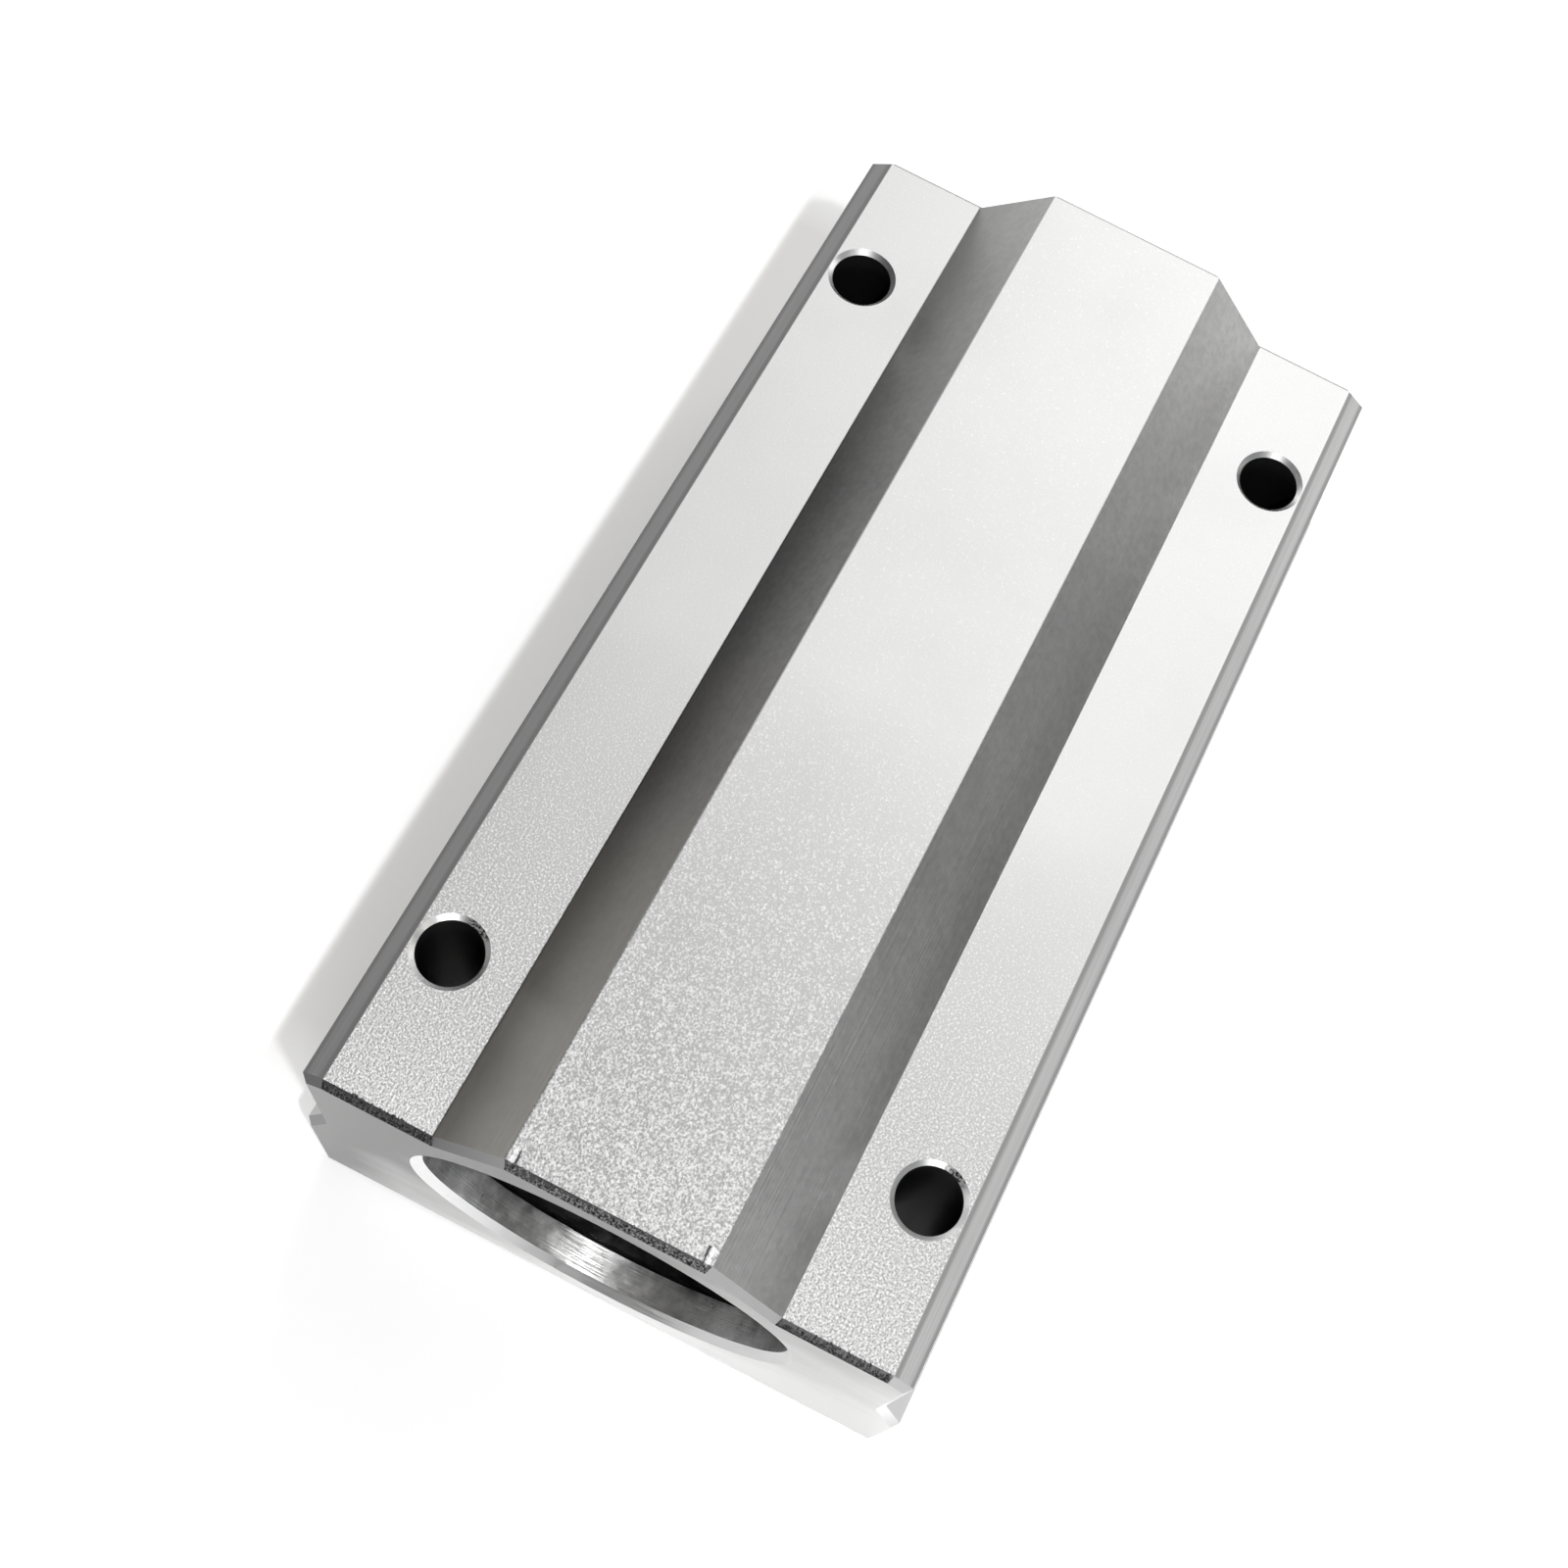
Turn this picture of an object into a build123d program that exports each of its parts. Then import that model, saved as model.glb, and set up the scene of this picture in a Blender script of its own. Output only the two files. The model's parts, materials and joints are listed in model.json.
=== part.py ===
from build123d import *
import os
from math import asin, cos, degrees, floor, pi, sin, sqrt

# A long linear bearing block for a 20 mm shaft, in millimetres.
# X runs along the shaft, Z is up, and the origin is the middle of the mounting face.
# The block holds two ball bearings end to end. The front end is at -X.

# Shaft and balls
shaft_diameter = 20.0
ball_diameter = 3.175
circuit_count = 5  # closed loops of balls round each bearing
row_spacing = 5.2  # between the two straight rows of one loop
return_lift = 0.9  # how much further out the returning balls run
ball_gap = 0.03  # least gap between neighbouring balls
ball_play = 0.05  # round a ball in its channel

# Bearing
bearing_length = 42.0
sleeve_wall = 1.465  # outside the seal seats
seat_step = 0.4  # from the sleeve's inner relief out to the seal seat
sleeve_chamfer = 0.5
clip_groove_span = 30.5  # over the outer edges of the two grooves round the sleeve
clip_groove_width = 1.6
clip_groove_depth = 0.75
track_width = 4.4  # of each raceway land inside the sleeve
track_lip = 0.2  # height of a land beside its ball groove
running_gap = 0.1  # between cage and sleeve
cage_shaft_gap = 0.4
slot_share = 0.72  # width of the slot a loaded ball looks through, over the ball's diameter
ramp_length = 4.0  # over which a ball is lifted out of the loaded row
cage_rim = 2.4  # solid end of the cage beyond the ball channels
cage_end_gap = 0.2

# Seal
seal_width = 2.8
seal_recess = 0.2  # of the seal below the end of its sleeve
seal_root = 1.5  # height of the flap from the shaft to the seal's solid rim
seal_dish = 0.9
seal_web = 0.9
lip_land = 0.4

# Fits
slip_fit = 0.01  # radial, between turned pieces that slide together by hand
rubber_fit = 0.03

# Retaining rings and spacer
spacer_length = 2.6
spacer_wall = 2.2
ring_thickness = 1.2
ring_side_play = 0.1
ring_groove_depth = 0.85
ring_back_gap = 0.05  # behind the ring in its groove
ring_broad = 3.2  # radial width opposite the gap
ring_narrow = 2.2  # radial width beside the lugs
ring_gap = 6.0
lug_radius = 2.7
lug_hole = 2.5
ring_recess = 3.4  # from the end of the block to the groove

# Block
floor_thickness = 5.0  # under the bore
crown_wall = 4.0  # over the bore
crown_step = 6.0  # from the shoulders up to the crown
crown_width = 16.1
crown_foot_width = 28.2
bolt_hole = 5.2  # clears a 5 mm screw from above, and is the core of a 6 mm thread from below
bolt_wall = 1.4  # between a bolt hole and the bore
bolt_edge = 7.0  # from a bolt hole's axis to the side of the base
bolt_spacing_x = 70.0
bolt_countersink = 0.4
tapped_countersink = 0.45
side_step = 2.15  # how far the upper side stands in from the base
shoulder_bevel_width = 1.8
shoulder_bevel_height = 1.2
base_side_height = 14.0  # of the upright side of the wide base
flare_height = 5.5  # of the slope between the base and the upper side
flare_fillet = 1.5
base_bevel = 0.5
edge_round = 0.25  # along the edges of the shoulders and the crown
end_bevel = 0.6
mouth_chamfer = 0.7

# Sizes that follow
shaft_radius = shaft_diameter / 2
ball_radius = ball_diameter / 2
loaded_radius = shaft_radius + ball_radius  # to the ball centres of a loaded row
return_radius = loaded_radius + return_lift
relief_radius = return_radius + ball_radius + ball_play
seat_radius = relief_radius + seat_step
bearing_radius = seat_radius + sleeve_wall
bore_radius = bearing_radius + slip_fit
track_radius = loaded_radius + ball_radius - track_lip
cage_radius = track_radius - running_gap
cage_bore_radius = shaft_radius + cage_shaft_gap
cage_length = bearing_length - 2 * (seal_width + seal_recess + cage_end_gap)
channel_width = ball_diameter + 2 * ball_play
straight_length = cage_length - 2 * cage_rim - row_spacing - channel_width
loaded_height = sqrt(loaded_radius**2 - (row_spacing / 2) ** 2)
return_height = sqrt(return_radius**2 - (row_spacing / 2) ** 2)
loop_length = 2 * straight_length + pi * row_spacing
least_step = row_spacing * asin((ball_diameter + ball_gap) / row_spacing)  # round a bend
balls_per_loop = floor(loop_length / least_step)

bearing_end = spacer_length / 2 + bearing_length
bearing_centre = spacer_length / 2 + bearing_length / 2
ring_groove_width = ring_thickness + ring_side_play
block_end = bearing_end + ring_groove_width + ring_recess
axis_height = floor_thickness + bore_radius
crown_height = axis_height + bore_radius + crown_wall
shoulder_height = crown_height - crown_step
bolt_y = bore_radius + bolt_wall + bolt_hole / 2
base_half = bolt_y + bolt_edge
side_half = base_half - side_step


def turned(points):
    """A solid turned about the X axis from a closed outline of (x, radius) points."""
    return revolve(make_face(Polyline(*points, close=True)), Axis.X)


def tube(outer_radius, inner_radius, length):
    """A tube along X, centred on the origin."""
    return extrude(Plane.YZ * (Circle(outer_radius) - Circle(inner_radius)), length / 2, both=True)


def mirrored(points):
    """The points, followed by their mirror images in x = 0 in the opposite order."""
    return points + [(-x, y) for x, y in reversed(points) if x]


def housing_section():
    """The block's cross-section: a wide base, narrower shoulders with bevels, and a raised crown."""
    flare_top = base_side_height + flare_height
    half = [
        (base_half - base_bevel, 0),
        (base_half, base_bevel),
        (base_half, base_side_height),
        (side_half, flare_top),
        (side_half, shoulder_height - shoulder_bevel_height),
        (side_half - shoulder_bevel_width, shoulder_height),
        (crown_foot_width / 2, shoulder_height),
        (crown_width / 2, crown_height),
    ]
    section = make_face(Polyline(*mirrored(half), close=True))
    bends = section.vertices().filter_by_position(Axis.Y, base_side_height, flare_top)
    return fillet(bends, flare_fillet)


def bore_cutter():
    """The through bore with its chamfered mouths and two ring grooves, about the X axis."""
    groove_radius = bore_radius + ring_groove_depth
    half = [
        (bearing_end, bore_radius),
        (bearing_end, groove_radius),
        (bearing_end + ring_groove_width, groove_radius),
        (bearing_end + ring_groove_width, bore_radius),
        (block_end - mouth_chamfer, bore_radius),
        (block_end, bore_radius + mouth_chamfer),
        (block_end, 0),
    ]
    return turned(mirrored(half))


def bolt_hole_cutter():
    """A through hole, countersunk at the shoulder, and opened at the base for its tapped end."""
    radius = bolt_hole / 2
    outline = [
        (0, 0),
        (0, radius + tapped_countersink),
        (tapped_countersink, radius),
        (shoulder_height - bolt_countersink, radius),
        (shoulder_height, radius + bolt_countersink),
        (shoulder_height, 0),
    ]
    return Rot(0, -90, 0) * turned(outline)


def housing():
    block = extrude(Plane.YZ * housing_section(), block_end, both=True)
    ends = block.faces().filter_by(Axis.X)
    block = chamfer(ends.edges(), end_bevel)
    upper_edges = block.edges().filter_by(Axis.X).filter_by_position(Axis.Z, axis_height, crown_height)
    block = fillet(upper_edges, edge_round)
    block -= Pos(0, 0, axis_height) * bore_cutter()
    holes = GridLocations(bolt_spacing_x, 2 * bolt_y, 2, 2)
    return block - [place * bolt_hole_cutter() for place in holes]


def retaining_ring():
    """An internal spring ring from x = 0 outwards, with its gap and two holed lugs at the top."""
    outer_radius = bore_radius + ring_groove_depth - ring_back_gap
    inner_radius = outer_radius - (ring_broad + ring_narrow) / 2
    shift = (ring_broad - ring_narrow) / 2
    disc = Circle(outer_radius)
    lug_reach = outer_radius - lug_radius
    lug_angle = degrees(asin((ring_gap / 2 + lug_radius) / lug_reach))
    band = disc - Pos(0, shift) * Circle(inner_radius)
    band -= Pos(0, outer_radius) * Rectangle(ring_gap + 2 * lug_radius, 2 * outer_radius)
    for side in (-1, 1):
        lug = Rot(0, 0, side * lug_angle) * Pos(0, lug_reach)
        tail = Rot(0, 0, side * lug_angle) * Pos(0, outer_radius - ring_narrow / 2)
        band += lug * Circle(lug_radius)
        band += tail * Rectangle(2 * lug_radius, ring_narrow) & disc
        band -= lug * Circle(lug_hole / 2)
    band -= Pos(0, outer_radius) * Rectangle(ring_gap, 2 * outer_radius)
    return extrude(Plane.YZ * band, ring_thickness)


def spacer_ring():
    return tube(bearing_radius, bearing_radius - spacer_wall, spacer_length)


def circuit_frames():
    """The turn about X, in degrees, of the middle of each ball circuit."""
    return [360 / circuit_count * i for i in range(circuit_count)]


def loaded_turn():
    """How far a loaded row lies round from the middle of its circuit, in degrees."""
    return degrees(asin(row_spacing / 2 / loaded_radius))


def track_land():
    """One raised raceway along the inside of the sleeve, at the top, grooved to fit the balls."""
    band = Circle((relief_radius + seat_radius) / 2) - Circle(track_radius)
    strip = Pos(0, relief_radius) * Rectangle(track_width, relief_radius)
    groove = Pos(0, loaded_radius) * Circle(ball_radius + slip_fit)
    length = straight_length - 2 * ramp_length
    return extrude(Plane.YZ * (band & strip - groove), length / 2, both=True)


def sleeve():
    """The hard steel outer sleeve: two clip grooves outside, seal seats and raceways inside."""
    end = bearing_length / 2
    groove_out = clip_groove_span / 2
    groove_in = groove_out - clip_groove_width
    seat = end - seal_width - seal_recess
    outside = [
        (groove_in, bearing_radius),
        (groove_in, bearing_radius - clip_groove_depth),
        (groove_out, bearing_radius - clip_groove_depth),
        (groove_out, bearing_radius),
        (end - sleeve_chamfer, bearing_radius),
        (end, bearing_radius - sleeve_chamfer),
        (end, seat_radius),
        (seat, seat_radius),
        (seat, relief_radius),
    ]
    body = turned(mirrored(outside))
    return body + [Rot(turn + loaded_turn(), 0, 0) * track_land() for turn in circuit_frames()]


def ball_channel():
    """What one circuit removes from the cage, with the circuit's middle at the top."""
    outer = SlotCenterToCenter(straight_length, row_spacing + channel_width)
    island = SlotCenterToCenter(straight_length, row_spacing - channel_width)
    channel_floor = return_height - ball_radius - ball_play
    loop = Pos(0, 0, channel_floor) * extrude(outer - island, cage_radius)
    row = Pos(0, 0, loaded_radius) * Rot(0, 90, 0) * Cylinder(channel_width / 2, straight_length)
    slot = extrude(SlotOverall(straight_length, ball_diameter * slot_share), loaded_radius)
    return [loop, Rot(loaded_turn(), 0, 0) * row, Rot(loaded_turn(), 0, 0) * slot]


def cage():
    """The moulded ball cage."""
    body = tube(cage_radius, cage_bore_radius, cage_length)
    for turn in circuit_frames():
        body -= [Rot(turn, 0, 0) * cut for cut in ball_channel()]
    return body


def ball():
    """A ball with 26 flat sides and its corners on the true sphere."""
    edge = ball_diameter / sqrt(5 + 2 * sqrt(2))
    cube = Box(*[edge * (1 + sqrt(2))] * 3)
    return chamfer(cube.edges(), edge / sqrt(2))


def ball_place(distance):
    """Where a ball's centre is after a distance round the loop, with the circuit at the top."""
    half = straight_length / 2
    bend = row_spacing / 2
    if distance < straight_length:
        x = distance - half
        lift = max(0, min(1, (abs(x) - half + ramp_length) / ramp_length))
        return (x, -bend, loaded_height + lift * (return_height - loaded_height))
    distance -= straight_length
    if distance < pi * bend:
        angle = distance / bend
        return (half + bend * sin(angle), -bend * cos(angle), return_height)
    distance -= pi * bend
    if distance < straight_length:
        return (half - distance, bend, return_height)
    angle = (distance - straight_length) / bend
    return (-half - bend * sin(angle), bend * cos(angle), return_height)


def ball_circuit(turn):
    """One closed loop of separate balls."""
    one = ball()
    step = loop_length / balls_per_loop
    places = [ball_place(step * (i + 0.5)) for i in range(balls_per_loop)]
    return Compound([Rot(turn, 0, 0) * Pos(*place) * one for place in places])


def seal():
    """A rubber seal from x = 0 outwards: a rim that fills the seat and a dished flap with its lip."""
    rim = seat_radius - rubber_fit
    root = shaft_radius + seal_root
    return turned([
        (0, rim),
        (seal_width, rim),
        (seal_width, root),
        (seal_width - seal_dish, shaft_radius),
        (seal_width - seal_dish - lip_land, shaft_radius),
        (seal_width - seal_web, root),
        (0, root),
    ])


def bearing():
    """The pieces of one bearing by name, centred on the origin, with its outer end towards +X."""
    seat = bearing_length / 2 - seal_width - seal_recess
    pieces = {"sleeve": sleeve(), "cage": cage()}
    for number, turn in enumerate(circuit_frames(), 1):
        pieces[f"ball_circuit_{number}"] = ball_circuit(turn)
    pieces["outer_seal"] = Pos(seat, 0, 0) * seal()
    pieces["inner_seal"] = Rot(0, 0, 180) * Pos(seat, 0, 0) * seal()
    return pieces


def block_pieces():
    """Every piece of the block by name, where it sits."""
    axis = Pos(0, 0, axis_height)
    pieces = {"housing": housing(), "spacer_ring": axis * spacer_ring()}
    bearing_pieces = bearing()
    for end_name, half_turn in (("front", 180), ("rear", 0)):
        end = axis * Rot(0, 0, half_turn)
        pieces[f"{end_name}_retaining_ring"] = end * Pos(bearing_end, 0, 0) * retaining_ring()
        for name, piece in bearing_pieces.items():
            pieces[f"{end_name}_{name}"] = end * Pos(bearing_centre, 0, 0) * piece
    return pieces


os.makedirs("parts", exist_ok=True)
for name, piece in block_pieces().items():
    export_step(piece, f"parts/{name}.step")
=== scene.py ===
import json
from functools import reduce
from math import cos, pi, radians, sin
from types import SimpleNamespace

import bmesh
import bpy
from mathutils import Matrix, Vector

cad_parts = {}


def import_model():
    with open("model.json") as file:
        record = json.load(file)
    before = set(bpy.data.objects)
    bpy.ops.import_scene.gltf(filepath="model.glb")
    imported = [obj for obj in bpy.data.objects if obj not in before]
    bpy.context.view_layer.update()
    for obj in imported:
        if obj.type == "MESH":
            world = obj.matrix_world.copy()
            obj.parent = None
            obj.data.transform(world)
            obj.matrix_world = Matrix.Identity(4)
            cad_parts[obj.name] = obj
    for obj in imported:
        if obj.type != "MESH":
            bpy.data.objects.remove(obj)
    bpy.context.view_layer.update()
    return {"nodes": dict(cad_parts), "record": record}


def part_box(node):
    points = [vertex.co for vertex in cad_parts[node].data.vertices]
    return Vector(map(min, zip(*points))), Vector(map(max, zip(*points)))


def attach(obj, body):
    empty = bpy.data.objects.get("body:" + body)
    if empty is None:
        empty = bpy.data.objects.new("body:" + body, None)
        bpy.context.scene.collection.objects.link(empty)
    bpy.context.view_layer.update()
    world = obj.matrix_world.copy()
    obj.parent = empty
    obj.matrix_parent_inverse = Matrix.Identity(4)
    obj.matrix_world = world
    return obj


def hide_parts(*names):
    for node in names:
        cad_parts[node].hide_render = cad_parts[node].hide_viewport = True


# A long linear bearing block, seen from above its front end. Lengths are in metres. +X runs to
# the rear end, +Y to the left side and +Z up. Tones are in linear light.

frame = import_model()

MM = 0.001

# Camera
CAMERA_PLACE = (-69.37 * MM, -9.21 * MM, 183.77 * MM)
CAMERA_TURN = (22.047, -8.923, -64.389)  # degrees about X, Y and Z
CAMERA_LENS = 46.704
CAMERA_SENSOR = 36  # the width that the lens is given for
CAMERA_SHIFT = (-0.08263, -0.0139)
CAMERA_NEAREST = 1 * MM

# Floor
FLOOR_HALF = 3.0
FLOOR_HEIGHT = -0.03 * MM  # just clear of the base
FLOOR_GLOW = 0.33  # near the block, as the camera and mirrors see it
# Painted fall-off: the floor's glow and its tone drop away from the block
FAR_GLOW = 0.8 * FLOOR_GLOW
FAR_FLOOR = (0.16, 0.45)  # from the near floor's tone to the far floor's
# A strip of painted shadow on the floor beside the block's left side, where the key lamp's shadow
# falls, darker still in a band at its foot
STRIP_OUTER_EDGE = (37.0 * MM, 36.2 * MM)  # of the strip that keeps the shadow on the left
STRIP_FRONT_EDGE = (-46 * MM, -38 * MM)
STRIP_REAR_EDGE = (70 * MM, 62 * MM)
STRIP_FOOT = (32 * MM, 27 * MM)  # its darker band beside the base

# World, in shares of a full white
HORIZON = 0.03
ZENITH = 0.36
UNDERSIDE = 0.6
REAR_GLEAM = 0.95  # added low down at +X

# Main forms of the frame
_, block_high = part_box("housing")
sleeve_low, sleeve_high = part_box("front_sleeve")
(bolts,) = [mount for mount in frame["record"]["mounts"] if mount["name"] == "mounting_bolts"]
CROWN_STEP = 6 * MM  # from the shoulders up to the crown
SIDE_STEP = 2.15 * MM  # from the base in to the upper side, above the flare
BLOCK_END = block_high.x
CROWN_HEIGHT = block_high.z
SHOULDER_HEIGHT = CROWN_HEIGHT - CROWN_STEP
SIDE = block_high.y - SIDE_STEP
BORE_AXIS = (sleeve_low.z + sleeve_high.z) / 2
BORE_RADIUS = (sleeve_high.z - sleeve_low.z) / 2
BOLT_X = bolts["dims"]["spacing_x_mm"] / 2 * MM
BOLT_Y = bolts["dims"]["spacing_y_mm"] / 2 * MM
BOLT_RADIUS = bolts["dims"]["hole_r_mm"] * MM

# How far masks reach past those forms
GROOVE_REACH = 1.2 * MM  # over the ring grooves and the mouths of the bore
COUNTERSINK_REACH = 0.43 * MM
END_REACH = 0.75 * MM  # over the bevels and the mouths at an end

# Lines at each front corner of the crown, from the middle: a painted highlight and the nick's dark
# line
NICK_HIGHLIGHT_PLACE = 7.62 * MM
NICK_DARK_PLACE = 7.28 * MM

# Threads in the lower ends of the bolt holes
THREAD_PITCH = 1.0 * MM
THREAD_LENGTH = 12 * MM
THREAD_CREST = 2.46 * MM
THREAD_HALF_CREST = 0.10 * THREAD_PITCH
THREAD_HALF_ROOT = 0.36 * THREAD_PITCH
THREAD_SINK = 0.03 * MM  # of its root into the wall
THREAD_START = 0.9 * THREAD_PITCH
THREAD_STEPS = 28  # round one turn
THREAD_RUNOUT = THREAD_STEPS / 4

BALL_SUBDIVISIONS = 3

# How much a face looks up, or towards an end: where its mask starts, and where it is full
FACES_END = (0.9, 0.95)
SLANTS_ENDWARD = (0.3, 0.4)
IS_LEVEL = (0.93, 0.97)
IS_LEVEL_TOP = (0.95, 0.99)
IS_ROUNDED_EDGE = (0.74, 0.80)
IS_SIDE_BEVEL = (0.75, 0.80)
IS_TOP_BEVEL = (0.6, 0.68)
IS_UPPER_BEVEL = (0.55, 0.65)
# The painted shade of the slopes falls on faces that look up at least this much
CAN_TAKE_SLOPE_SHADE = (0.6, 0.7)
IS_SLOPE = (0.3, 0.5)
IS_FLARE = (0.1, 0.2)
IS_UPRIGHT = (0.4, 0.3)

# Parts of a noise's range
SOFT = (0.3, 0.7)
CLEAR = (0.35, 0.65)
SPARSE = (0.45, 0.75)
CLOUDED = (0.35, 0.75)
BLOTCHED = (0.4, 0.65)
JAGGED = (0.40, 0.62)
BURRED = (0.40, 0.64)
NICKED = (0.4, 0.7)
BROKEN = (0.40, 0.45)
FLECKED = (0.46, 0.52)


def grey(value, warmth=0.0):
    """A grey, or one that is a little warmer."""
    return (value * (1 + warmth), value, value * (1 - warmth), 1)


# Tones of the level tops, with painted shade on the right and painted light towards the rear
TOP_DULL_RIGHT = grey(0.28, 0.005)
TOP_DULL_LEFT = grey(0.38, 0.005)
TOP_DULL_FAR = grey(0.655, 0.004)
TOP_SPECKS = grey(0.72, 0.003)
TOP_BRIGHT_RIGHT = grey(0.75, 0.002)
TOP_BRIGHT_LEFT = grey(0.92, 0.002)
TOP_BRIGHT_FAR = grey(0.78, 0.002)
SMUDGES = grey(0.42)

# Tones of the sides and the slopes, with painted shade: the sides darker than the slopes, the left
# slope darker, the middle of the slopes darker still, and a warm shade near the front of the left
# slope
SIDE_TONE = grey(0.65, 0.006)
SLOPE_TONE = grey(0.88, 0.006)
SIDE_LINES = grey(0.45, 0.010)
SIDE_CLOUDS = grey(0.52, 0.010)
SIDE_MOTTLE = grey(0.46, 0.010)
# Painted shade on the left slope and along the middle of the slopes, with a painted warm shade
# near the front of the left slope
LEFT_SLOPE_SHADE = grey(0.27, 0.012)
SLOPE_SHADE_RIGHT = grey(0.19, 0.012)
SLOPE_SHADE_LEFT = grey(0.12, 0.012)
SLOPE_SHADE_MOTTLE = grey(0.05, 0.012)
WARM_SHADE = (0.45, 0.425, 0.367, 1)
WARM_SHADE_DEEP = (0.135, 0.126, 0.108, 1)
# Painted shade on the flare's facets, darker on the left
FLARE_SHADE_RIGHT = grey(0.42)
FLARE_SHADE_LEFT = grey(0.30)

# Tones of the bevels along the shoulders, with a painted highlight along their middle and painted
# shade along their edges and on the left
RIDGE_HIGHLIGHT = grey(0.80, 0.004)
RIDGE_EDGE_SHADE = grey(0.50, 0.004)
RIDGE_LINES = grey(0.52)
RIDGE_LEFT_SHADE = grey(0.34)

# Tones of the ends and their bevels
# Painted shade on the ends: paler on the left than the right, and darkest upwards and towards the
# left
END_PALE_LEFT = grey(0.90, 0.004)
END_PALE_RIGHT = grey(0.70, 0.004)
END_PAINTED_SHADE = grey(0.185, 0.004)
# Painted shade on the end bevels, darkest on the left, and a painted highlight where they meet the
# flare on the right
END_BEVEL_RIGHT = grey(0.34)
END_BEVEL_LEFT = grey(0.12)
END_BEVEL_TOP = grey(0.20)
END_BEVEL_CORNER = grey(0.52)
END_BEVEL_HIGHLIGHT = grey(0.85)
TORN_PITS = grey(0.03)
TORN_SHOULDER = grey(0.15)
TORN_CROWN = grey(0.30)
# A painted highlight line at the nick, and the nick's own dark line
NICK_HIGHLIGHT = grey(0.80)
NICK_DARK = grey(0.10)

# Tones of the bore and the bolt holes
BORE_DULL = grey(0.58)
BORE_BRIGHT = grey(0.88)
# The chamfers of the mouths, with a painted highlight on the left
MOUTH_RIGHT = grey(0.62)
MOUTH_HIGHLIGHT = grey(0.93)
COUNTERSINK_TONE = grey(0.93)
COUNTERSINK_FLECKS = grey(0.10)
# Painted shade in the bolt holes: near-black walls, which are no metal
HOLE_SHADE = grey(0.012)

# Tones of the floor
# A painted pool of light on the near floor, which darkens further out
FLOOR_NEAR = grey(0.86)
FLOOR_FAR = grey(0.55)
# Painted shadow: the strip beside the block's left side and its darker foot
STRIP_SHADOW_TONE = grey(0.55, 0.02)
STRIP_FOOT_SHADOW_TONE = grey(0.33, 0.02)


class Material:
    """A node material, with short calls to add and join its nodes."""

    def __init__(self, name):
        self.material = bpy.data.materials.new(name)
        self.material.use_nodes = True
        self.tree = self.material.node_tree
        self.tree.nodes.clear()
        self.output = self.tree.nodes.new("ShaderNodeOutputMaterial")
        self.position = self.node("TexCoord").outputs["Object"]

    def link(self, value, socket):
        """Sets a socket to a value, or joins another node's output to it."""
        if isinstance(value, bpy.types.NodeSocket):
            self.tree.links.new(value, socket)
        else:
            socket.default_value = value

    def node(self, kind, inputs=(), **settings):
        """Adds a node, with its settings and its inputs by name or number."""
        node = self.tree.nodes.new("ShaderNode" + kind)
        for key, value in settings.items():
            setattr(node, key, value)
        for key, value in dict(inputs).items():
            self.link(value, node.inputs[key])
        return node

    def xyz(self, vector):
        return self.node("SeparateXYZ", {0: vector}).outputs

    def math(self, operation, *values):
        return self.node("Math", enumerate(values), operation=operation).outputs[0]

    def add(self, a, b):
        return self.math("ADD", a, b)

    def size(self, value):
        return self.math("ABSOLUTE", value)

    def minus(self, a, b):
        return self.math("SUBTRACT", a, b)

    def hypot(self, a, b):
        return self.math("SQRT", self.add(self.both(a, a), self.both(b, b)))

    def both(self, *masks):
        """The product, which is 1 only where each mask is 1."""
        return reduce(lambda a, b: self.math("MULTIPLY", a, b), masks)

    def either(self, a, b):
        return self.math("MAXIMUM", a, b)

    def other(self, mask):
        return self.minus(1.0, mask)

    def over(self, value, limit):
        return self.math("GREATER_THAN", value, limit)

    def under(self, value, limit):
        return self.math("LESS_THAN", value, limit)

    def between(self, value, low, high):
        """0 up to low, 1 from high on, and a slope between. High may be the lesser of the two."""
        inputs = {"Value": value, "From Min": low, "From Max": high}
        return self.node("MapRange", inputs, clamp=True).outputs[0]

    def noise(self, cells, detail, roughness):
        """Noise from about 0 to 1, with this many cells per metre, or one number for each axis."""
        inputs = {"Vector": self.position, "Detail": detail, "Roughness": roughness}
        if isinstance(cells, tuple):
            stretched = self.node("Mapping", {"Vector": self.position, "Scale": cells})
            inputs.update({"Vector": stretched.outputs[0], "Scale": 1.0})
        else:
            inputs["Scale"] = cells
        return self.node("TexNoise", inputs).outputs[0]

    def mix(self, factor, a, b):
        """A colour or a number that goes from a to b as the factor goes from 0 to 1."""
        colours = (tuple, bpy.types.NodeSocketColor)
        kind = "RGBA" if isinstance(a, colours) or isinstance(b, colours) else "FLOAT"
        node = self.node("Mix", data_type=kind)
        at = {"FLOAT": (2, 3, 0), "RGBA": (6, 7, 2)}[kind]
        self.link(factor, node.inputs[0])
        self.link(a, node.inputs[at[0]])
        self.link(b, node.inputs[at[1]])
        return node.outputs[at[2]]

    def tint(self, base, tone, mask, share):
        """The base, with this share of the tone where the mask is 1."""
        return self.mix(self.both(mask, share), base, tone)

    def bump(self, height, distance):
        return self.node("Bump", {"Height": height, "Distance": distance}).outputs[0]

    def surface(self, **inputs):
        """The one shader of a solid material, by socket name with underscores for spaces."""
        named = {key.replace("_", " "): value for key, value in inputs.items()}
        shader = self.node("BsdfPrincipled", named)
        self.link(shader.outputs[0], self.output.inputs["Surface"])
        return self.material


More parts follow.
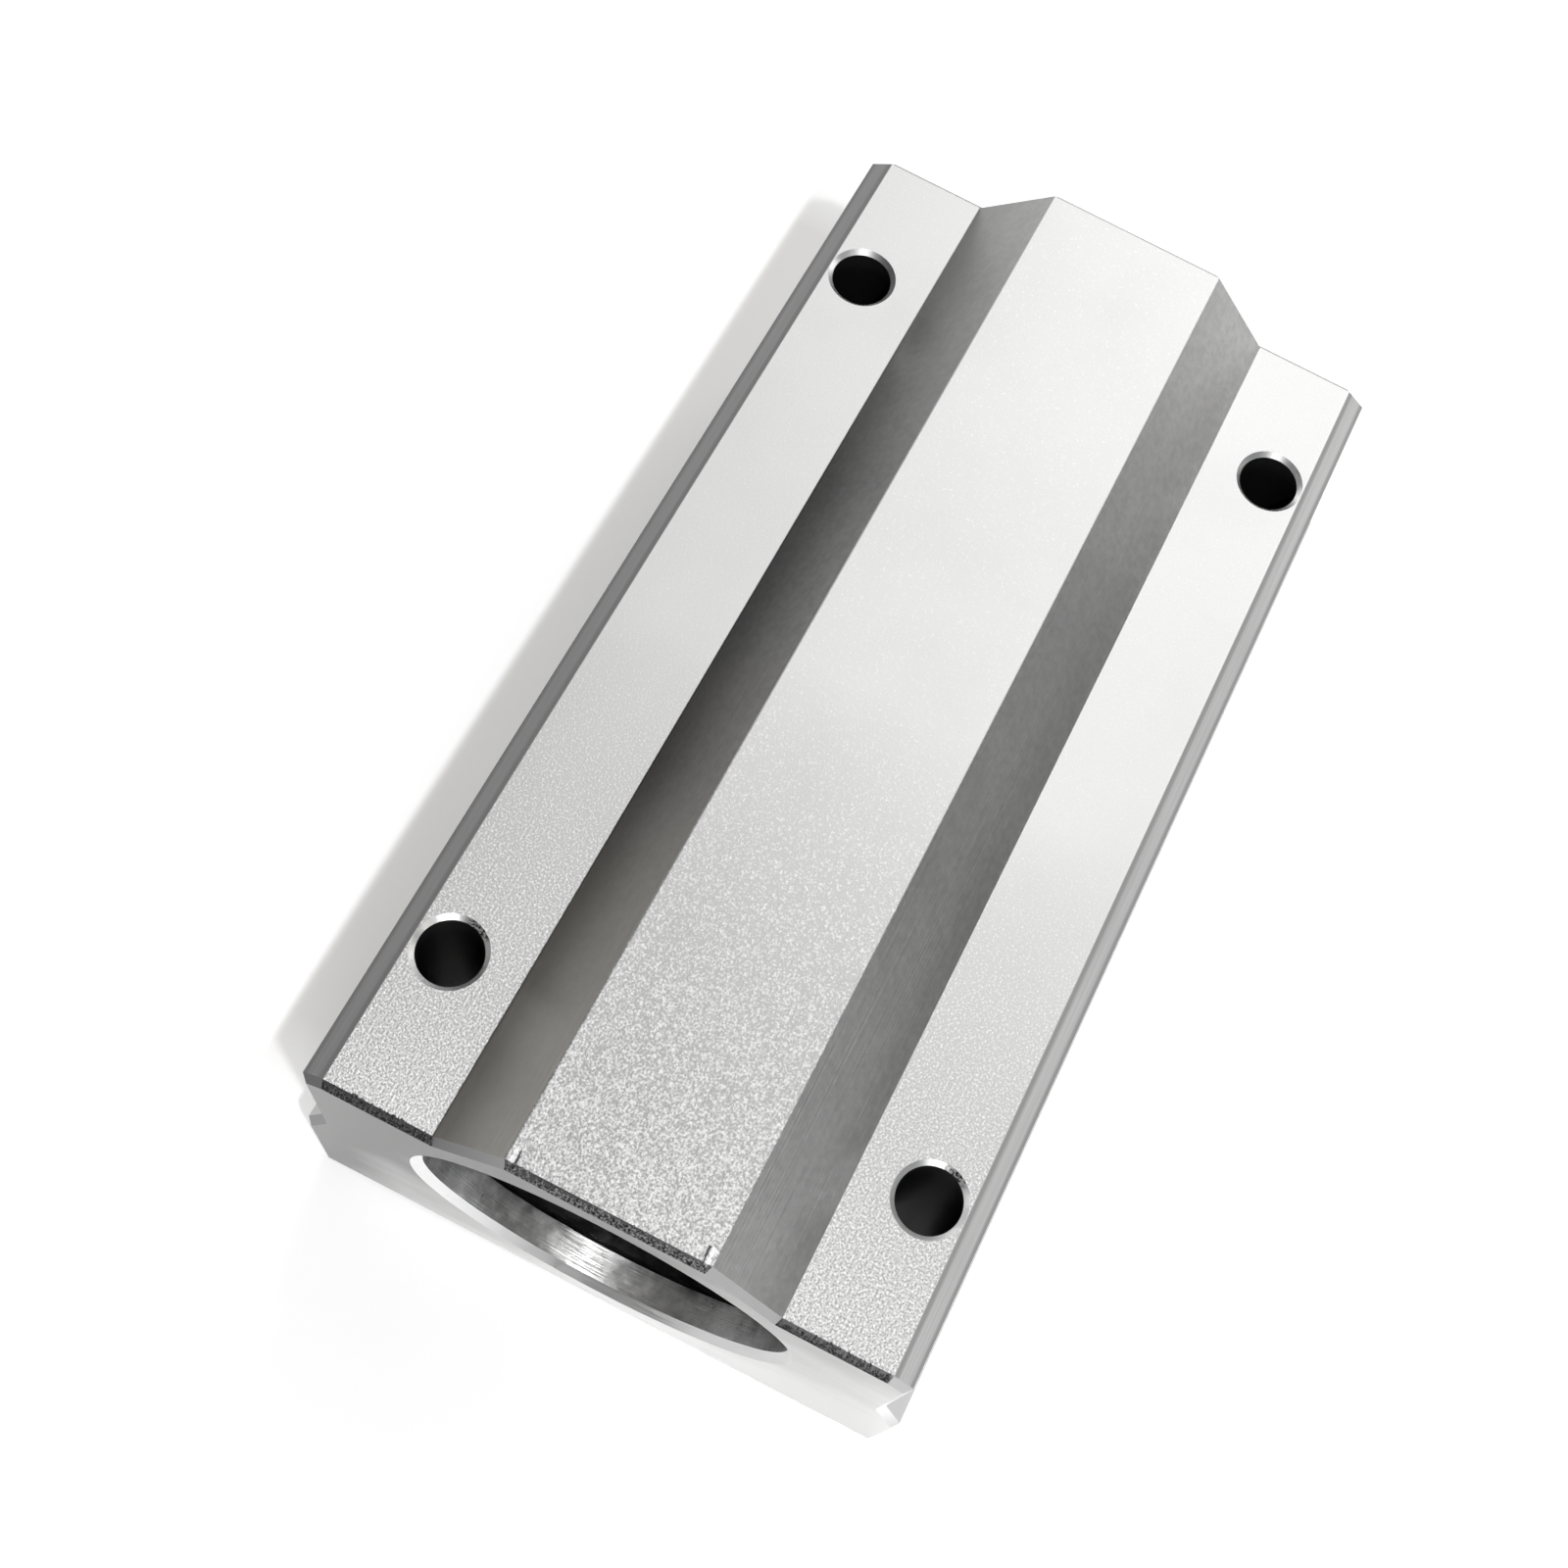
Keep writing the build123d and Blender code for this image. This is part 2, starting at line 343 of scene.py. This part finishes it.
def housing_places(m):
    """Measures of a point on the housing, and a mask for each kind of surface there."""
    s = SimpleNamespace()
    s.x, s.y, s.z = m.xyz(m.position)
    along, _, s.up = m.xyz(m.node("NewGeometry").outputs["True Normal"])
    s.endward = m.size(along)
    s.lengthways = m.size(s.x)
    s.sideways = m.size(s.y)
    s.bolt_x = m.minus(s.lengthways, BOLT_X)
    s.bolt_y = m.minus(s.sideways, BOLT_Y)
    s.far_along = m.between(s.x, -BLOCK_END, -0.07 * BLOCK_END)
    s.on_left = m.between(s.y, 5 * MM, 15 * MM)

    # The bore and the bolt holes
    from_axis = m.hypot(s.y, m.minus(s.z, BORE_AXIS))
    in_bore = m.under(from_axis, BORE_RADIUS + GROOVE_REACH)
    at_bolt = m.under(m.hypot(s.bolt_x, s.bolt_y), BOLT_RADIUS + COUNTERSINK_REACH)
    s.in_hole = m.both(at_bolt, m.other(m.between(m.size(s.up), *IS_LEVEL)))
    s.hole_wall = m.both(s.in_hole, m.between(m.size(s.up), *IS_UPRIGHT))
    s.outside = m.other(m.either(in_bore, s.in_hole))

    # The ends, with their bevels and the mouths of the bore
    s.is_end = m.between(s.endward, *FACES_END)
    near_end = m.over(s.lengthways, BLOCK_END - END_REACH)
    slants = m.between(s.endward, *SLANTS_ENDWARD)
    is_slant = m.both(near_end, slants, m.other(s.is_end))
    s.is_bore = m.both(in_bore, m.other(s.is_end))
    s.is_mouth = m.both(in_bore, is_slant)
    s.is_bevel = m.both(is_slant, s.outside)

    # The shoulders and the crown, with the rounded edges of the crown
    is_high = m.over(s.z, SHOULDER_HEIGHT - 0.2 * MM)
    is_level = m.both(m.between(s.up, *IS_LEVEL_TOP), is_high)
    at_crown = m.over(s.z, CROWN_HEIGHT - 0.25 * MM)
    crown_edge = m.both(m.between(s.up, *IS_ROUNDED_EDGE), at_crown)
    s.is_top = m.either(is_level, crown_edge)

    # The bevels along the shoulders
    shoulder_edge = m.between(s.sideways, SIDE - 2.0 * MM, SIDE - 1.9 * MM)
    s.is_ridge = m.both(m.between(s.up, *IS_SIDE_BEVEL), shoulder_edge)
    return s


def housing_noises(m):
    """The patterns that blasting, drawing, handling and cutting left on the housing, and a drift
    that breaks up the painted shade on the ends.
    """
    return SimpleNamespace(
        grain=m.noise(5600, 1.5, 0.6),
        fine_grain=m.noise(7000, 2.0, 0.6),
        smudge=m.noise(55, 3.0, 0.6),
        cloud=m.noise(130, 3.0, 0.55),
        mottle=m.noise(1500, 3.0, 0.6),
        frost=m.noise(700, 3.0, 0.6),
        fleck=m.noise(4200, 2.0, 0.6),
        burr=m.noise(6500, 1.0, 0.5),
        lines=m.noise((45, 4200, 4200), 3.0, 0.6),
        jag=m.noise((900, 3800, 900), 2.0, 0.6),
        ragged=m.noise((900, 130, 900), 2.0, 0.5),
        drift=m.noise((100, 70, 200), 4.0, 0.6),
        turning=m.noise((9000, 300, 300), 2.0, 0.5),
    )


def torn_edge(m, s, n):
    """The torn edge that the cut left along the front of the shoulders and the crown."""
    depth = m.mix(m.between(n.ragged, *CLEAR), 0.16 * MM, 0.46 * MM)
    depth = m.add(depth, m.both(m.between(n.jag, *JAGGED), 0.42 * MM))
    depth = m.both(depth, m.under(s.x, 0.0))
    is_torn = m.over(s.lengthways, m.minus(BLOCK_END, depth))
    top_bevel = m.both(m.between(s.endward, *SLANTS_ENDWARD), m.between(s.up, *IS_TOP_BEVEL))
    return m.both(is_torn, s.outside, m.either(top_bevel, s.is_top))


def top_colour(m, s, n):
    """Blasted grain on the level tops, coarse near the front end and fine behind it, with painted
    shade on the right and painted light towards the rear.
    """
    dull = m.mix(s.on_left, TOP_DULL_RIGHT, TOP_DULL_LEFT)
    dull = m.mix(s.far_along, dull, TOP_DULL_FAR)
    dull = m.tint(dull, TOP_SPECKS, m.between(n.fine_grain, *SOFT), share=0.25)
    bright = m.mix(s.on_left, TOP_BRIGHT_RIGHT, TOP_BRIGHT_LEFT)
    bright = m.mix(s.far_along, bright, TOP_BRIGHT_FAR)
    dull_up_to = m.mix(s.far_along, 0.36, 0.60)
    bright_from = m.mix(s.far_along, 0.66, 0.78)
    return m.mix(m.between(n.grain, dull_up_to, bright_from), dull, bright)


def side_colour(m, s, n):
    """Drawn and clouded metal on the sides and slopes, with painted shade: the sides darker than
    the slopes, the left slope darker, the middle of the slopes darker still, and a painted warm
    shade near the front of the left slope.
    """
    on_slope = m.between(s.up, *IS_SLOPE)
    colour = m.mix(on_slope, SIDE_TONE, SLOPE_TONE)
    colour = m.tint(colour, SIDE_LINES, m.between(n.lines, *SOFT), share=0.15)
    colour = m.tint(colour, SIDE_CLOUDS, m.between(n.cloud, *CLOUDED), share=0.32)
    colour = m.tint(colour, SIDE_MOTTLE, m.between(n.mottle, *CLEAR), share=0.28)
    # Painted shade on the left, mostly on the slope
    colour = m.tint(colour, LEFT_SLOPE_SHADE, s.on_left, share=m.mix(on_slope, 0.1, 0.73))

    # Painted shade along the middle of the slopes, deeper on the left, with a mottle in it
    shaded = m.mix(s.on_left, SLOPE_SHADE_RIGHT, SLOPE_SHADE_LEFT)
    shaded = m.tint(shaded, SLOPE_SHADE_MOTTLE, m.between(n.mottle, *CLEAR), share=0.3)
    off_ends = m.between(s.lengthways, 0.95 * BLOCK_END, 0.3 * BLOCK_END)
    strength = m.mix(s.on_left, 0.47, 0.95)
    slope_shade = m.both(off_ends, m.between(s.up, *CAN_TAKE_SLOPE_SHADE), strength)
    colour = m.mix(slope_shade, colour, shaded)

    # A painted warm shade near the front of the left slope, deeper where the slope shade lies
    frontward = m.between(s.x, 0.0, -0.6 * BLOCK_END)
    leftward = m.between(s.y, 0.0, 5 * MM)
    warm = m.mix(slope_shade, WARM_SHADE, WARM_SHADE_DEEP)
    return m.tint(colour, warm, m.both(frontward, leftward), share=0.6)


def ridge_colour(m, s, n):
    """The bevels along the shoulders, with a painted highlight along their middle and painted
    shade along their edges, more on the left.
    """
    from_ridge = m.size(m.minus(s.sideways, SIDE - 0.9 * MM))
    colour = m.mix(m.between(from_ridge, 0.40 * MM, 0.62 * MM), RIDGE_HIGHLIGHT, RIDGE_EDGE_SHADE)
    colour = m.tint(colour, RIDGE_LINES, m.between(n.lines, *CLEAR), share=0.35)
    return m.tint(colour, RIDGE_LEFT_SHADE, s.on_left, share=0.5)


def end_colour(m, s, n):
    """Milled ends with painted shade, which darkens them upwards and towards the left, and a
    little towards the right.
    """
    shade = m.add(m.both(s.y, 14.0), m.both(s.z, 16.0))
    shade = m.add(shade, m.both(n.drift, 0.45))
    shade = m.add(shade, m.both(m.between(s.y, 19 * MM, 25 * MM), 0.25))
    pale = m.mix(m.between(s.y, 4 * MM, -18 * MM), END_PALE_LEFT, END_PALE_RIGHT)
    return m.mix(m.between(shade, 0.15, 0.85), pale, END_PAINTED_SHADE)


def bevel_colour(m, s):
    """The bevels round the ends, with painted shade, darkest on the left, and a painted highlight
    at the flare of the right side.
    """
    colour = m.mix(s.on_left, END_BEVEL_RIGHT, END_BEVEL_LEFT)
    colour = m.mix(m.between(s.up, *IS_UPPER_BEVEL), colour, END_BEVEL_TOP)
    outermost = m.between(s.sideways, SIDE - 2.0 * MM, SIDE - 1.8 * MM)
    at_flare = m.both(m.between(s.z, 13 * MM, 20 * MM), m.between(s.z, 28 * MM, 22 * MM))
    right = m.mix(at_flare, END_BEVEL_CORNER, END_BEVEL_HIGHLIGHT)
    return m.mix(m.both(outermost, m.under(s.y, 0.0)), colour, right)


def torn_colour(m, s, n):
    on_crown = m.over(s.z, SHOULDER_HEIGHT + 3 * MM)
    burrs = m.mix(on_crown, TORN_SHOULDER, TORN_CROWN)
    return m.mix(m.between(n.burr, *BURRED), TORN_PITS, burrs)


def with_bore(m, s, n, colour):
    """Frosted turning in the bore, and chamfers at its mouths with a painted highlight on the
    left.
    """
    bore = m.mix(m.between(n.frost, *CLEAR), BORE_DULL, BORE_BRIGHT)
    mouth = m.mix(m.between(s.y, 9 * MM, 15 * MM), MOUTH_RIGHT, MOUTH_HIGHLIGHT)
    colour = m.mix(s.is_bore, colour, bore)
    return m.mix(s.is_mouth, colour, mouth)


def with_holes(m, s, n, colour):
    """Bright countersinks, flecked on the side away from the middle of the block, and hole walls
    in painted shade, near-black.
    """
    endward_side = m.between(s.bolt_x, -1.9 * MM, -2.3 * MM)
    leftward_of_bolt = m.both(s.bolt_y, m.math("SIGN", s.y))
    right_side = m.between(leftward_of_bolt, 0.2 * MM, -0.3 * MM)
    flecks = m.both(m.between(n.fleck, *FLECKED), endward_side, s.in_hole, right_side)
    colour = m.mix(s.in_hole, colour, COUNTERSINK_TONE)
    colour = m.mix(flecks, colour, COUNTERSINK_FLECKS)
    return m.mix(s.hole_wall, colour, HOLE_SHADE)


def with_nicks(m, s, n, is_torn, colour):
    """A nick at each front corner of the crown: a painted highlight line, with the nick's dark
    line inside it.
    """
    in_front = m.under(s.x, 1.8 * MM - BLOCK_END)
    on_crown = m.over(s.z, CROWN_HEIGHT - 0.2 * MM)
    at_corner = m.both(in_front, on_crown, m.other(m.either(is_torn, s.is_end)))
    from_highlight = m.size(m.minus(s.sideways, NICK_HIGHLIGHT_PLACE))
    from_highlight = m.add(from_highlight, m.both(m.between(n.burr, *NICKED), 0.22 * MM))
    from_dark = m.size(m.minus(s.sideways, NICK_DARK_PLACE))
    highlight_line = m.both(at_corner, m.between(from_highlight, 0.24 * MM, 0.18 * MM))
    dark_line = m.both(at_corner, m.between(from_dark, 0.13 * MM, 0.08 * MM))
    dark_line = m.both(dark_line, m.between(n.jag, *BROKEN))
    colour = m.mix(highlight_line, colour, NICK_HIGHLIGHT)
    return m.mix(dark_line, colour, NICK_DARK)


def housing_colour(m, s, n, is_torn):
    colour = m.mix(s.is_ridge, side_colour(m, s, n), ridge_colour(m, s, n))
    colour = m.mix(s.is_top, colour, top_colour(m, s, n))
    colour = m.tint(colour, SMUDGES, m.between(n.smudge, *SPARSE), share=0.12)
    colour = m.mix(s.is_end, colour, end_colour(m, s, n))
    # The flare's facets, in painted shade, darker on the left
    past_side = m.between(s.sideways, SIDE + 0.05 * MM, SIDE + 0.15 * MM)
    on_flare = m.both(past_side, m.between(s.up, *IS_FLARE), m.other(s.is_end))
    colour = m.mix(on_flare, colour, m.mix(s.on_left, FLARE_SHADE_RIGHT, FLARE_SHADE_LEFT))
    colour = m.mix(s.is_bevel, colour, bevel_colour(m, s))
    colour = m.mix(is_torn, colour, torn_colour(m, s, n))
    colour = with_bore(m, s, n, colour)
    colour = with_holes(m, s, n, colour)
    return with_nicks(m, s, n, is_torn, colour)


def housing_roughness(m, s, n, is_torn):
    turned = m.mix(m.between(n.frost, *SOFT), 0.27, 0.36)
    roughness = m.mix(s.is_top, 0.35, 0.62)
    roughness = m.mix(s.is_end, roughness, 0.36)
    roughness = m.mix(s.is_bore, roughness, turned)
    return m.mix(m.either(s.is_ridge, is_torn), roughness, 0.6)


def housing_relief(m, s, n, is_torn):
    """Fine relief: drawn lines, blasted grain, milling, turning and the jags of the torn edge."""
    blasted = m.both(n.grain, m.mix(s.far_along, 1.0, 0.15))
    height = m.mix(s.is_top, m.both(n.lines, 0.3), blasted)
    height = m.mix(s.is_end, height, m.both(n.fine_grain, 0.25))
    height = m.mix(s.is_bore, height, m.both(n.turning, 0.4))
    height = m.mix(is_torn, height, m.both(n.jag, 3.0))
    height = m.mix(s.in_hole, height, 0.0)
    return m.bump(height, 0.045 * MM)


def extruded_aluminium():
    """Blasted and clear anodised extrusion, with milled ends, a turned bore and a torn edge, and
    light and shade painted into its colour by place.
    """
    m = Material("extruded_aluminium")
    s = housing_places(m)
    n = housing_noises(m)
    is_torn = torn_edge(m, s, n)
    return m.surface(
        Base_Color=housing_colour(m, s, n, is_torn),
        # Painted shade in the bolt holes: their walls are no metal, and the low specular level
        # keeps them near-black
        Metallic=m.other(s.hole_wall),
        Roughness=housing_roughness(m, s, n, is_torn),
        Specular_IOR_Level=0.05,
        Normal=housing_relief(m, s, n, is_torn),
    )


def plain_metal(name, value, roughness):
    m = Material(name)
    fine = m.between(m.noise(3000, 3.0, 0.6), *SOFT)
    colour = m.mix(fine, grey(value * 0.9), grey(value))
    return m.surface(Base_Color=colour, Metallic=1.0, Roughness=roughness)


def black_steel():
    """Phosphated and oiled spring steel: dull black, with blotches where the oil gathers."""
    m = Material("black_steel")
    oiled = m.between(m.noise(420, 4.0, 0.6), *BLOTCHED)
    return m.surface(
        Base_Color=m.mix(oiled, grey(0.008), grey(0.036)),
        Metallic=1.0,
        Roughness=m.mix(oiled, 0.55, 0.38),
        Specular_Tint=grey(0.08),
        Normal=m.bump(m.noise(3200, 2.0, 0.5), 0.012 * MM),
    )


def plain_dielectric(name, colour, roughness):
    m = Material(name)
    fine = m.noise(3000, 3.0, 0.6)
    darker = (*(0.8 * channel for channel in colour[:3]), 1)
    mixed = m.mix(m.between(fine, *SOFT), darker, colour)
    return m.surface(Base_Color=mixed, Roughness=roughness, Normal=m.bump(fine, 0.02 * MM))


MATERIALS = {
    "housing_aluminium": extruded_aluminium(),
    "spacer_aluminium": plain_metal("turned_aluminium", 0.75, 0.3),
    "ring_steel": black_steel(),
    "sleeve_steel": plain_metal("ground_steel", 0.6, 0.25),
    "ball_steel": plain_metal("polished_steel", 0.7, 0.08),
    "cage_resin": plain_dielectric("moulded_resin", (0.8, 0.78, 0.7, 1), 0.5),
    "seal_rubber": plain_dielectric("rubber", grey(0.008), 0.75),
}

THREAD_METAL = plain_metal("cut_aluminium", 0.7, 0.3)


def dress_frame():
    """Gives every CAD node the material of its slot."""
    slots = {part["node"]: part["material_slot"] for part in frame["record"]["subparts"]}
    for name, node in frame["nodes"].items():
        node.data.materials.clear()
        node.data.materials.append(MATERIALS[slots[name]])


def placed(name, data):
    """A new object in the scene."""
    item = bpy.data.objects.new(name, data)
    bpy.context.scene.collection.objects.link(item)
    return item


def add_piece(name, mesh, slot, *nodes):
    """Adds a piece that rides with the block, and stands for these CAD nodes."""
    piece = placed(name, mesh)
    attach(piece, "root")
    if nodes:
        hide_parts(*nodes)


def loose_parts(mesh):
    """The corners of each separate solid of a mesh."""
    work = bmesh.new()
    work.from_mesh(mesh)
    bmesh.ops.remove_doubles(work, verts=work.verts, dist=0.001 * MM)
    left = set(work.verts)
    parts = []
    while left:
        part = []
        reached = [left.pop()]
        while reached:
            corner = reached.pop()
            part.append(corner.co.copy())
            for edge in corner.link_edges:
                neighbour = edge.other_vert(corner)
                if neighbour in left:
                    left.remove(neighbour)
                    reached.append(neighbour)
        parts.append(part)
    work.free()
    return parts


def round_balls():
    """Polished round balls in place of the flat-sided ones of the CAD."""
    for name, node in sorted(frame["nodes"].items()):
        if "ball_circuit" not in name:
            continue
        work = bmesh.new()
        for corners in loose_parts(node.data):
            centre = sum(corners, Vector()) / len(corners)
            bmesh.ops.create_icosphere(
                work,
                subdivisions=BALL_SUBDIVISIONS,
                radius=(corners[0] - centre).length,
                matrix=Matrix.Translation(centre),
            )
        mesh = bpy.data.meshes.new(f"{name}_balls")
        work.to_mesh(mesh)
        work.free()
        mesh.materials.append(MATERIALS["ball_steel"])
        mesh.shade_smooth()
        add_piece(f"{name}_balls", mesh, "ball_steel", name)


def thread_mesh(name, centre_x, centre_y):
    """A helical ridge with a flat crest, which runs out at both ends."""
    wall = BOLT_RADIUS + THREAD_SINK
    outline = [
        (wall, -THREAD_HALF_ROOT),
        (THREAD_CREST, -THREAD_HALF_CREST),
        (THREAD_CREST, THREAD_HALF_CREST),
        (wall, THREAD_HALF_ROOT),
    ]
    sides = len(outline)
    last = round((THREAD_LENGTH - 2 * THREAD_START) / THREAD_PITCH * THREAD_STEPS)
    points = []
    faces = []
    for step in range(last + 1):
        turn = step / THREAD_STEPS
        fullness = min(1.0, min(step, last - step) / THREAD_RUNOUT)
        for radius, rise in outline:
            reach = wall + (radius - wall) * fullness
            point_x = centre_x + reach * cos(2 * pi * turn)
            point_y = centre_y + reach * sin(2 * pi * turn)
            height = THREAD_START + THREAD_PITCH * turn + rise * max(fullness, 0.05)
            points.append((point_x, point_y, height))
    for step in range(last):
        for side in range(sides):
            a = sides * step + side
            b = sides * step + (side + 1) % sides
            faces.append((a, b, b + sides, a + sides))
    faces.append(tuple(reversed(range(sides))))
    faces.append(tuple(range(sides * last, sides * (last + 1))))
    mesh = bpy.data.meshes.new(name)
    mesh.from_pydata(points, [], faces)
    work = bmesh.new()
    work.from_mesh(mesh)
    bmesh.ops.recalc_face_normals(work, faces=work.faces)
    work.to_mesh(mesh)
    work.free()
    return mesh


def base_threads():
    """The thread ridges in the lower ends of the bolt holes."""
    for centre_x, end_name in ((-BOLT_X, "front"), (BOLT_X, "rear")):
        for centre_y, side_name in ((BOLT_Y, "left"), (-BOLT_Y, "right")):
            name = f"{end_name}_{side_name}_thread"
            mesh = thread_mesh(name, centre_x, centre_y)
            mesh.materials.append(THREAD_METAL)
            mesh.shade_flat()
            add_piece(name, mesh, "housing_aluminium")


def floor():
    """A pale floor that looks white but keeps the shadow, and that is clear from beneath, with a
    strip of painted shadow beside the block's left side and a painted fall-off of light away from
    the block.
    """
    m = Material("floor")
    path = m.node("LightPath").outputs
    seen = m.either(path["Is Camera Ray"], path["Is Glossy Ray"])
    seen = m.either(seen, path["Is Transmission Ray"])
    x, y, _ = m.xyz(m.position)
    # Painted fall-off of light away from the block
    is_far = m.between(m.hypot(x, y), *FAR_FLOOR)
    # The strip of painted shadow beside the block's left side
    across_strip = m.both(m.between(y, *STRIP_OUTER_EDGE), m.over(y, SIDE))
    along_strip = m.both(m.between(x, *STRIP_FRONT_EDGE), m.between(x, *STRIP_REAR_EDGE))
    strip = m.mix(m.between(y, *STRIP_FOOT), STRIP_SHADOW_TONE, STRIP_FOOT_SHADOW_TONE)
    near = m.mix(m.both(across_strip, along_strip), FLOOR_NEAR, strip)
    diffuse = m.node("BsdfDiffuse", {"Color": m.mix(is_far, near, FLOOR_FAR)})
    strength = m.both(seen, m.mix(is_far, FLOOR_GLOW, FAR_GLOW))
    glow = m.node("Emission", {"Color": grey(1), "Strength": strength})
    lit = m.node("AddShader", {0: diffuse.outputs[0], 1: glow.outputs[0]})
    underneath = m.node("NewGeometry").outputs["Backfacing"]
    clear = m.node("BsdfTransparent")
    surface = m.node("MixShader", {0: underneath, 1: lit.outputs[0], 2: clear.outputs[0]})
    m.link(surface.outputs[0], m.output.inputs["Surface"])

    mesh = bpy.data.meshes.new("floor")
    turns = ((-1, -1), (1, -1), (1, 1), (-1, 1))
    corners = [(a * FLOOR_HALF, b * FLOOR_HALF, FLOOR_HEIGHT) for a, b in turns]
    mesh.from_pydata(corners, [], [(0, 1, 2, 3)])
    mesh.materials.append(m.material)
    placed("floor", mesh)


def world():
    """A dim soft room, brighter overhead to the right, low down behind the block and below it."""
    room = bpy.data.worlds.new("room")
    bpy.context.scene.world = room
    room.use_nodes = True
    tree = room.node_tree

    def ramp(value, start, end, low, high):
        node = tree.nodes.new("ShaderNodeMapRange")
        tree.links.new(value, node.inputs["Value"])
        numbers = {"From Min": start, "From Max": end, "To Min": low, "To Max": high}
        for name, number in numbers.items():
            node.inputs[name].default_value = number
        return node.outputs[0]

    def joined(operation, a, b):
        node = tree.nodes.new("ShaderNodeMath")
        node.operation = operation
        tree.links.new(a, node.inputs[0])
        tree.links.new(b, node.inputs[1])
        return node.outputs[0]

    parts = tree.nodes.new("ShaderNodeSeparateXYZ")
    direction = tree.nodes.new("ShaderNodeTexCoord").outputs["Generated"]
    tree.links.new(direction, parts.inputs[0])
    x, y, z = parts.outputs
    leftward = ramp(y, -1.0, 1.0, -0.3, 0.3)
    overhead = ramp(joined("SUBTRACT", z, leftward), 0.40, 0.95, HORIZON, ZENITH)
    rearward = ramp(x, 0.42, 0.85, 0.0, REAR_GLEAM)
    low_down = ramp(z, 0.4, 0.75, 1.0, 0.0)
    strength = joined("ADD", overhead, joined("MULTIPLY", rearward, low_down))
    strength = joined("ADD", strength, ramp(z, -0.15, -0.45, 0.0, UNDERSIDE))
    background = tree.nodes["Background"]
    background.inputs["Color"].default_value = grey(1)
    tree.links.new(strength, background.inputs["Strength"])


def area_lamp(name, place, target, size, power):
    light = bpy.data.lights.new(name, "AREA")
    light.shape = "ELLIPSE"
    light.size, light.size_y = size
    light.energy = power
    lamp = placed(name, light)
    lamp.location = place
    aim = Vector(target) - Vector(place)
    lamp.rotation_euler = aim.to_track_quat("-Z", "Y").to_euler()


def lamps():
    area_lamp(
        "key",
        place=(-0.101, -0.068, 0.308),
        target=(0, 0, 0.01),
        size=(0.008, 0.008),
        power=0.39,
    )
    area_lamp(
        "rear_softbox",
        place=(0.42, -0.06, 0.50),
        target=(0.03, 0, 0.03),
        size=(0.40, 0.44),
        power=1.84,
    )
    area_lamp(
        "front_fill",
        place=(-0.25, -0.10, 0.14),
        target=(-0.09, 0, 0),
        size=(0.14, 0.10),
        power=0.25,
    )


def camera():
    data = bpy.data.cameras.new("camera")
    data.sensor_width = CAMERA_SENSOR
    data.lens = CAMERA_LENS
    data.shift_x, data.shift_y = CAMERA_SHIFT
    data.clip_start = CAMERA_NEAREST
    seen_from = placed("camera", data)
    seen_from.location = CAMERA_PLACE
    seen_from.rotation_euler = [radians(angle) for angle in CAMERA_TURN]
    bpy.context.scene.camera = seen_from


dress_frame()
round_balls()
base_threads()
floor()
world()
lamps()
camera()
bpy.context.scene.view_settings.view_transform = "Standard"
